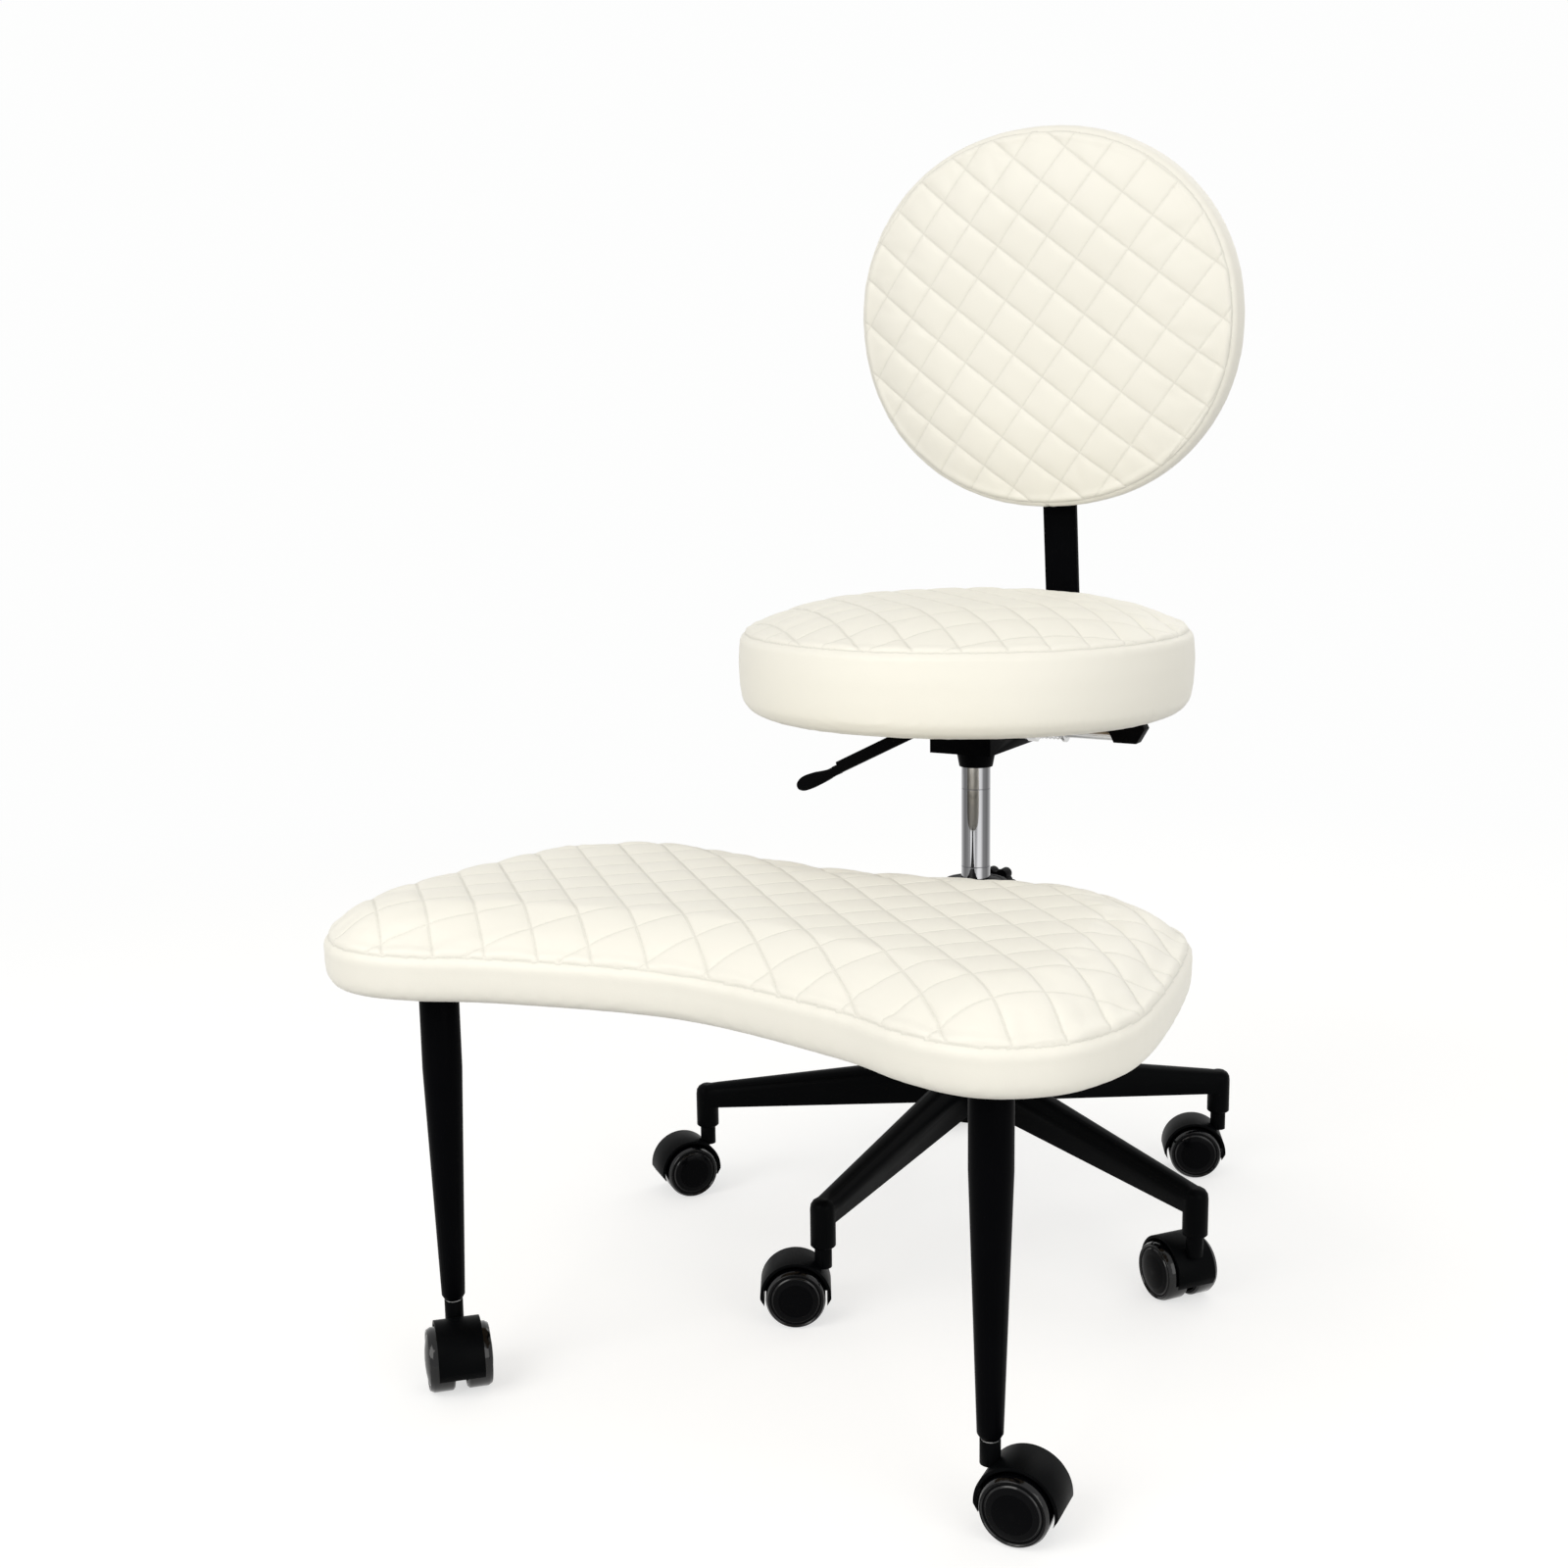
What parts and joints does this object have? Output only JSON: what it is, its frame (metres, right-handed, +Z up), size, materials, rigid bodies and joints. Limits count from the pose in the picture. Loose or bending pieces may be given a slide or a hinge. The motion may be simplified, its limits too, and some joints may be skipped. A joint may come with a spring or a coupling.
{
  "type": "cross-legged office chair",
  "caption": "Castored desk chair with a round quilted seat and backrest and a kidney-shaped quilted leg rest that swings round the seat column on its own castored legs.",
  "frame": {"origin": "on the floor under the axis of the seat column, with every castor wheel at floor height", "axes": "+Z up, -Y the way the sitter faces, +X the sitter's left"},
  "size_m": [0.679, 0.8562, 1.0544],
  "materials": {
    "cream_leather": "vinyl-coated fabric, soft satin, quilted with cream thread",
    "plywood": "plain sanded plywood",
    "black_paint": "satin black powder coat",
    "black_nylon": "satin moulded nylon",
    "black_grip": "fine-grained moulding",
    "black_wheel": "smooth moulded nylon",
    "polished_chrome": "polished",
    "zinc_steel": "bright zinc plate"
  },
  "bodies": {
    "base": {"star_base": "black_nylon", "column_tube": "black_paint", "guide_bush": "black_nylon", "rod_bearing": "zinc_steel"},
    "lift_rod": {"piston_rod": "zinc_steel"},
    "seat": {"gas_cylinder": "polished_chrome", "mechanism_housing": "black_paint", "pivot_pins": "zinc_steel", "recline_spring": "zinc_steel", "seat_board": "plywood", "seat_cushion": "cream_leather", "seat_bolts": "zinc_steel"},
    "lift_lever": {"height_lever": "black_paint", "height_lever_grip": "black_grip"},
    "valve_button": {"release_button": "zinc_steel"},
    "recline_lever": {"recline_rod": "zinc_steel", "recline_handle": "black_grip"},
    "back_arm": {"back_bar": "black_paint"},
    "backrest": {"backrest_board": "plywood", "backrest_cushion": "cream_leather", "back_clamp": "black_paint", "back_screws": "zinc_steel"},
    "backrest_knob": {"back_knob": "black_grip"},
    "leg_rest": {"leg_rest_arm": "black_paint", "collar_bush": "black_nylon", "leg_rest_board": "plywood", "leg_rest_cushion": "cream_leather", "leg_plates": "black_paint", "left_leg": "black_paint", "right_leg": "black_paint", "leg_rest_screws": "zinc_steel"},
    "leg_rest_knob": {"collar_knob": "black_grip"},
    "front_caster": {"front_caster_hood": "black_nylon", "front_caster_stem": "zinc_steel"},
    "front_wheel_l": {"front_caster_left_wheel": "black_wheel"},
    "front_wheel_r": {"front_caster_right_wheel": "black_wheel"},
    "left_caster": {"left_caster_hood": "black_nylon", "left_caster_stem": "zinc_steel"},
    "left_wheel_l": {"left_caster_left_wheel": "black_wheel"},
    "left_wheel_r": {"left_caster_right_wheel": "black_wheel"},
    "rear_left_caster": {"rear_left_caster_hood": "black_nylon", "rear_left_caster_stem": "zinc_steel"},
    "rear_left_wheel_l": {"rear_left_caster_left_wheel": "black_wheel"},
    "rear_left_wheel_r": {"rear_left_caster_right_wheel": "black_wheel"},
    "rear_right_caster": {"rear_right_caster_hood": "black_nylon", "rear_right_caster_stem": "zinc_steel"},
    "rear_right_wheel_l": {"rear_right_caster_left_wheel": "black_wheel"},
    "rear_right_wheel_r": {"rear_right_caster_right_wheel": "black_wheel"},
    "right_caster": {"right_caster_hood": "black_nylon", "right_caster_stem": "zinc_steel"},
    "right_wheel_l": {"right_caster_left_wheel": "black_wheel"},
    "right_wheel_r": {"right_caster_right_wheel": "black_wheel"},
    "left_leg_caster": {"left_leg_caster_hood": "black_nylon", "left_leg_caster_stem": "zinc_steel"},
    "left_leg_wheel_l": {"left_leg_caster_left_wheel": "black_wheel"},
    "left_leg_wheel_r": {"left_leg_caster_right_wheel": "black_wheel"},
    "right_leg_caster": {"right_leg_caster_hood": "black_nylon", "right_leg_caster_stem": "zinc_steel"},
    "right_leg_wheel_l": {"right_leg_caster_left_wheel": "black_wheel"},
    "right_leg_wheel_r": {"right_leg_caster_right_wheel": "black_wheel"}
  },
  "joints": [
    {"name": "seat_swivel", "type": "hinge", "parent": "base", "child": "lift_rod", "pos_m": [0, 0, 0.12], "axis": [0, 0, 1], "continuous": true},
    {"name": "seat_lift", "type": "slide", "parent": "lift_rod", "child": "seat", "axis": [0, 0, 1], "range_m": [-0.058, 0]},
    {"name": "height_lever_lift", "type": "hinge", "parent": "seat", "child": "lift_lever", "pos_m": [-0.024, 0, 0.5], "axis": [0, 1, 0], "range_deg": [0, 8], "stiffness_Nm_per_rad": 4},
    {"name": "valve_press", "type": "slide", "parent": "seat", "child": "valve_button", "axis": [0, 0, -1], "range_m": [0, 0.0034]},
    {"name": "recline_lever_turn", "type": "hinge", "parent": "seat", "child": "recline_lever", "pos_m": [0, 0.036, 0.482], "axis": [1, 0, 0], "range_deg": [0, 60]},
    {"name": "back_recline", "type": "hinge", "parent": "seat", "child": "back_arm", "pos_m": [0, 0.074, 0.484], "axis": [-1, 0, 0], "range_deg": [0, 15]},
    {"name": "backrest_height", "type": "slide", "parent": "back_arm", "child": "backrest", "axis": [0, -0.1045, 0.9945], "range_m": [-0.04, 0.06]},
    {"name": "back_knob_turn", "type": "hinge", "parent": "backrest", "child": "backrest_knob", "pos_m": [0, 0.21407, 0.83231], "axis": [0, 0.9945, 0.1045], "continuous": true},
    {"name": "leg_rest_swivel", "type": "hinge", "parent": "base", "child": "leg_rest", "pos_m": [0, 0, 0.32], "axis": [0, 0, 1], "continuous": true},
    {"name": "leg_rest_knob_turn", "type": "hinge", "parent": "leg_rest", "child": "leg_rest_knob", "pos_m": [0, 0.05, 0.322], "axis": [0, 1, 0], "continuous": true},
    {"name": "front_caster_swivel", "type": "hinge", "parent": "base", "child": "front_caster", "pos_m": [-0.0204, -0.27785, 0.07], "axis": [0, 0, 1], "continuous": true},
    {"name": "left_caster_swivel", "type": "hinge", "parent": "base", "child": "left_caster", "pos_m": [0.25795, -0.10527, 0.07], "axis": [0, 0, 1], "continuous": true},
    {"name": "rear_left_caster_swivel", "type": "hinge", "parent": "base", "child": "rear_left_caster", "pos_m": [0.17983, 0.21279, 0.07], "axis": [0, 0, 1], "continuous": true},
    {"name": "rear_right_caster_swivel", "type": "hinge", "parent": "base", "child": "rear_right_caster", "pos_m": [-0.14681, 0.23678, 0.07], "axis": [0, 0, 1], "continuous": true},
    {"name": "right_caster_swivel", "type": "hinge", "parent": "base", "child": "right_caster", "pos_m": [-0.27056, -0.06646, 0.07], "axis": [0, 0, 1], "continuous": true},
    {"name": "left_leg_caster_swivel", "type": "hinge", "parent": "leg_rest", "child": "left_leg_caster", "pos_m": [0.241, -0.512, 0.07], "axis": [0, 0, 1], "continuous": true},
    {"name": "right_leg_caster_swivel", "type": "hinge", "parent": "leg_rest", "child": "right_leg_caster", "pos_m": [-0.241, -0.512, 0.07], "axis": [0, 0, 1], "continuous": true},
    {"name": "front_wheel_l_spin", "type": "hinge", "parent": "front_caster", "child": "front_wheel_l", "pos_m": [-0.04183, -0.28973, 0.026], "axis": [0.4848, -0.8746, 0], "continuous": true},
    {"name": "front_wheel_r_spin", "type": "hinge", "parent": "front_caster", "child": "front_wheel_r", "pos_m": [-0.04183, -0.28973, 0.026], "axis": [0.4848, -0.8746, 0], "continuous": true},
    {"name": "left_wheel_l_spin", "type": "hinge", "parent": "left_caster", "child": "left_wheel_l", "pos_m": [0.23838, -0.09052, 0.026], "axis": [-0.6018, -0.7986, 0], "continuous": true},
    {"name": "left_wheel_r_spin", "type": "hinge", "parent": "left_caster", "child": "left_wheel_r", "pos_m": [0.23838, -0.09052, 0.026], "axis": [-0.6018, -0.7986, 0], "continuous": true},
    {"name": "rear_left_wheel_l_spin", "type": "hinge", "parent": "rear_left_caster", "child": "rear_left_wheel_l", "pos_m": [0.15744, 0.20283, 0.026], "axis": [0.4067, -0.9135, 0], "continuous": true},
    {"name": "rear_left_wheel_r_spin", "type": "hinge", "parent": "rear_left_caster", "child": "rear_left_wheel_r", "pos_m": [0.15744, 0.20283, 0.026], "axis": [0.4067, -0.9135, 0], "continuous": true},
    {"name": "rear_right_wheel_l_spin", "type": "hinge", "parent": "rear_right_caster", "child": "rear_right_wheel_l", "pos_m": [-0.12804, 0.22103, 0.026], "axis": [0.6428, 0.766, 0], "continuous": true},
    {"name": "rear_right_wheel_r_spin", "type": "hinge", "parent": "rear_right_caster", "child": "rear_right_wheel_r", "pos_m": [-0.12804, 0.22103, 0.026], "axis": [0.6428, 0.766, 0], "continuous": true},
    {"name": "right_wheel_l_spin", "type": "hinge", "parent": "right_caster", "child": "right_wheel_l", "pos_m": [-0.28598, -0.0855, 0.026], "axis": [0.7771, -0.6293, 0], "continuous": true},
    {"name": "right_wheel_r_spin", "type": "hinge", "parent": "right_caster", "child": "right_wheel_r", "pos_m": [-0.28598, -0.0855, 0.026], "axis": [0.7771, -0.6293, 0], "continuous": true},
    {"name": "left_leg_wheel_l_spin", "type": "hinge", "parent": "left_leg_caster", "child": "left_leg_wheel_l", "pos_m": [0.26541, -0.50987, 0.026], "axis": [-0.0872, 0.9962, 0], "continuous": true},
    {"name": "left_leg_wheel_r_spin", "type": "hinge", "parent": "left_leg_caster", "child": "left_leg_wheel_r", "pos_m": [0.26541, -0.50987, 0.026], "axis": [-0.0872, 0.9962, 0], "continuous": true},
    {"name": "right_leg_wheel_l_spin", "type": "hinge", "parent": "right_leg_caster", "child": "right_leg_wheel_l", "pos_m": [-0.22368, -0.52932, 0.026], "axis": [0.7071, 0.7071, 0], "continuous": true},
    {"name": "right_leg_wheel_r_spin", "type": "hinge", "parent": "right_leg_caster", "child": "right_leg_wheel_r", "pos_m": [-0.22368, -0.52932, 0.026], "axis": [0.7071, 0.7071, 0], "continuous": true}
  ],
  "couplings": [
    {"joint": "valve_press", "follows": "height_lever_lift", "m_per_rad": 0.024}
  ]
}
